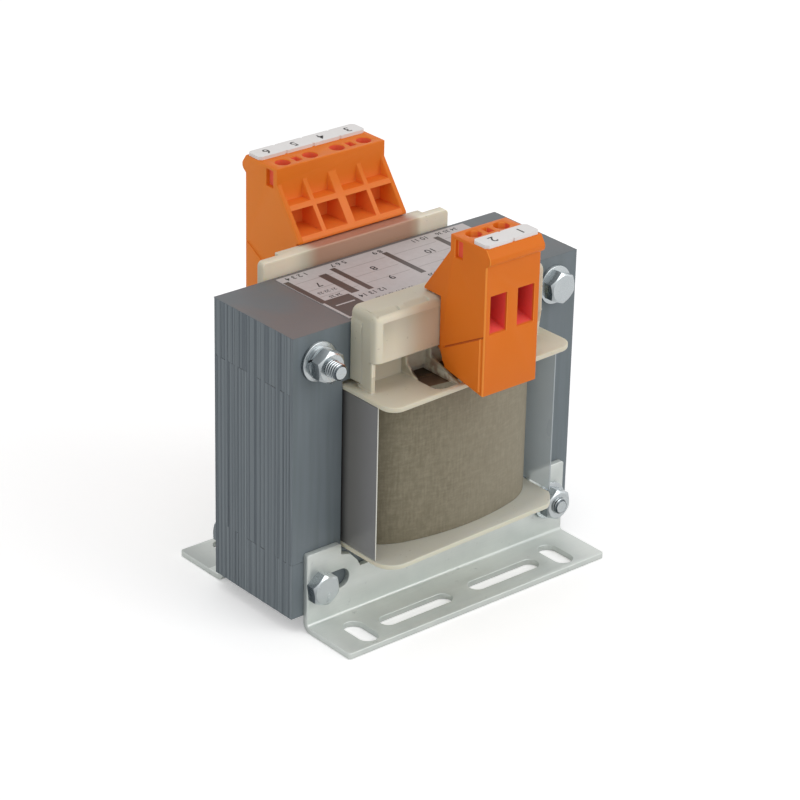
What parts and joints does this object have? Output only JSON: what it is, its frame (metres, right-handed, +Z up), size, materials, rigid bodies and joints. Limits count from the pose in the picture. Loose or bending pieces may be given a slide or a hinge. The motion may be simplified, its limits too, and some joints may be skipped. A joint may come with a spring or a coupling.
{
  "type": "laminated chassis transformer",
  "caption": "Open laminated control transformer on slotted sheet feet, with a wound bobbin and orange screw terminal blocks hooked on at the front and the rear.",
  "frame": {"origin": "middle of the foot pattern, on the surface that the transformer is screwed to", "axes": "+Z up out of the mounting surface, +X along the core's width to the right as seen from the front, -Y out of the front where the two-pole terminal block is"},
  "size_m": [0.0842, 0.0794, 0.095],
  "materials": {
    "core_varnish": "thin slate-grey varnish over stacked silicon-steel sheets, satin",
    "bobbin_plastic": "natural translucent moulded nylon, slightly milky",
    "block_plastic": "orange moulded polyamide, fine satin",
    "marker_plastic": "white moulded marker strip",
    "winding_wire": "enamelled copper wire",
    "insulation_paper": "insulating paper between the windings",
    "wrap_board": "grey-brown pressboard, fibrous, unglazed",
    "clear_film": "hazy polyester film",
    "zinc_steel": "bright zinc-plated steel",
    "tinned_brass": "tinned brass",
    "label_film": "printed silver-grey label film"
  },
  "bodies": {
    "root": {"core_e_plates": "core_varnish", "core_i_plates": "core_varnish", "bobbin": "bobbin_plastic", "primary_winding": "winding_wire", "secondary_winding": "winding_wire", "interwinding_insulation": "insulation_paper", "outer_wrap": "wrap_board", "left_insulation_film": "clear_film", "right_insulation_film": "clear_film", "front_terminal_block": "block_plastic", "rear_terminal_block": "block_plastic", "front_marker_strip": "marker_plastic", "rear_marker_strip": "marker_plastic", "front_clamp_cages": "zinc_steel", "rear_clamp_cages": "zinc_steel", "front_terminal_screws": "zinc_steel", "rear_terminal_screws": "zinc_steel", "front_current_bars": "tinned_brass", "rear_current_bars": "tinned_brass", "secondary_leads": "winding_wire", "primary_leads": "winding_wire", "front_foot_bracket": "zinc_steel", "rear_foot_bracket": "zinc_steel", "core_bolts": "zinc_steel", "core_nuts": "zinc_steel", "core_washers": "zinc_steel", "rating_label": "label_film"}
  },
  "joints": []
}
